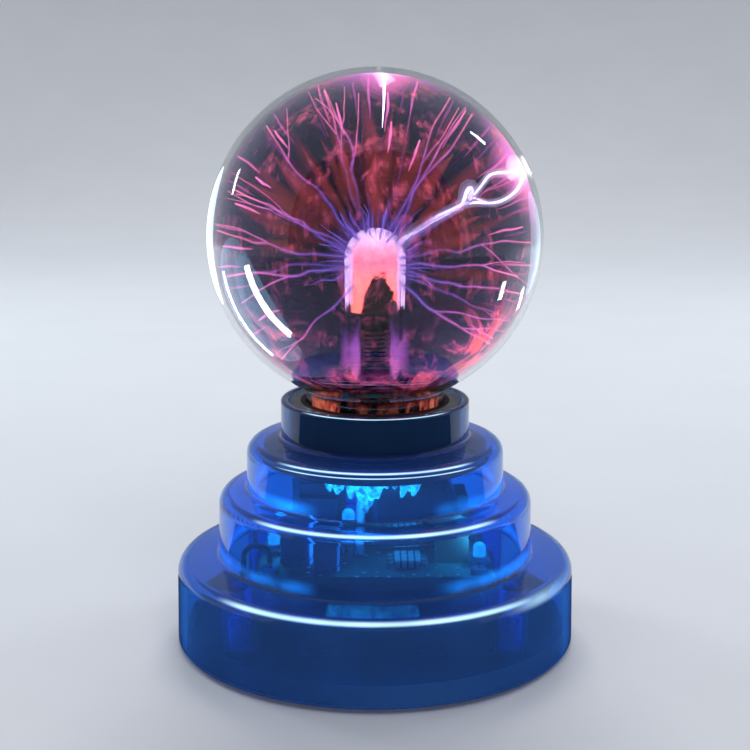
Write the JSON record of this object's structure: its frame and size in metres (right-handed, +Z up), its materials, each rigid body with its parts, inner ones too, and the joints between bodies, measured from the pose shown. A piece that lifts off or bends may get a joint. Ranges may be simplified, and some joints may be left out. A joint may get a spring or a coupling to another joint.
{
  "type": "plasma ball",
  "caption": "Glass plasma ball with a domed centre electrode on a stepped clear blue base, with a battery bay underneath and a slide switch at the back.",
  "frame": {"origin": "centre of the base on the surface it stands on", "axes": "+Z up along the axis of the base and globe, -Y towards the front, +Y towards the switch at the back"},
  "size_m": [0.0982, 0.1, 0.14],
  "materials": {
    "clear_glass": "clear blown glass",
    "tube_glass": "clear drawn glass",
    "conductive_lining": "woolly conductive wad, glowing coral when lit",
    "bright_steel": "drawn wire, bright",
    "dark_insulator": "satin insulating plastic",
    "black_cup": "satin black moulding",
    "black_rubber": "soft black rubber",
    "hot_glue": "set hot glue, cloudy and glossy",
    "screw_steel": "zinc-plated steel",
    "blue_shell": "clear tinted plastic, glossy",
    "dark_cover": "fine-grained dark moulding",
    "contact_metal": "nickel-plated spring steel",
    "cell_jacket": "printed film round a steel can",
    "board_laminate": "glass-fibre laminate under solder mask",
    "ferrite": "sintered ferrite",
    "coil_potting": "black potting resin",
    "capacitor_can": "sleeved aluminium can",
    "film_box": "moulded box",
    "finned_metal": "extruded aluminium",
    "chip_body": "moulded resin",
    "resistor_body": "lacquered ceramic with colour bands",
    "lamp_lens": "clear resin lens, lit cyan-blue",
    "switch_frame": "pressed tinplate",
    "knob_plastic": "satin moulding",
    "mic_can": "drawn can",
    "red_wire": "soft sleeving",
    "black_wire": "soft sleeving",
    "white_wire": "thick soft sleeving",
    "grey_wire": "soft sleeving"
  },
  "bodies": {
    "base": {"globe_glass": "clear_glass", "electrode_tube": "tube_glass", "exhaust_tip": "tube_glass", "electrode_lining": "conductive_lining", "contact_tip": "bright_steel", "contact_spring": "bright_steel", "lead_sleeve": "dark_insulator", "stem_plug": "dark_insulator", "globe_cup": "black_cup", "neck_gasket": "black_rubber", "mic_sleeve": "black_rubber", "rubber_feet": "black_rubber", "neck_glue": "hot_glue", "cup_screws": "screw_steel", "case_screws": "screw_steel", "board_screws": "screw_steel", "switch_screws": "screw_steel", "upper_shell": "blue_shell", "bottom_cover": "dark_cover", "battery_springs": "contact_metal", "link_plates": "contact_metal", "end_plates": "contact_metal", "battery_cell_1": "cell_jacket", "battery_cell_2": "cell_jacket", "battery_cell_3": "cell_jacket", "battery_cell_4": "cell_jacket", "circuit_board": "board_laminate", "transformer_core": "ferrite", "transformer_coil": "coil_potting", "capacitors": "capacitor_can", "film_capacitor": "film_box", "heat_sink": "finned_metal", "power_transistor": "chip_body", "sound_chip": "chip_body", "resistors": "resistor_body", "blue_lamps": "lamp_lens", "switch_body": "switch_frame", "microphone": "mic_can", "battery_wire_red": "red_wire", "battery_wire_black": "black_wire", "hv_lead": "white_wire", "switch_wires": "grey_wire", "mic_wires": "grey_wire"},
    "door": {"battery_door": "dark_cover"},
    "mode_knob": {"switch_slider": "knob_plastic"}
  },
  "joints": [
    {"name": "mode_slide", "type": "slide", "parent": "base", "child": "mode_knob", "axis": [1, 0, 0], "range_m": [-0.002, 0.002]},
    {"name": "door_hinge", "type": "hinge", "parent": "base", "child": "door", "pos_m": [0, -0.02295, 0.0016], "axis": [-1, 0, 0], "range_deg": [0, 80]}
  ]
}
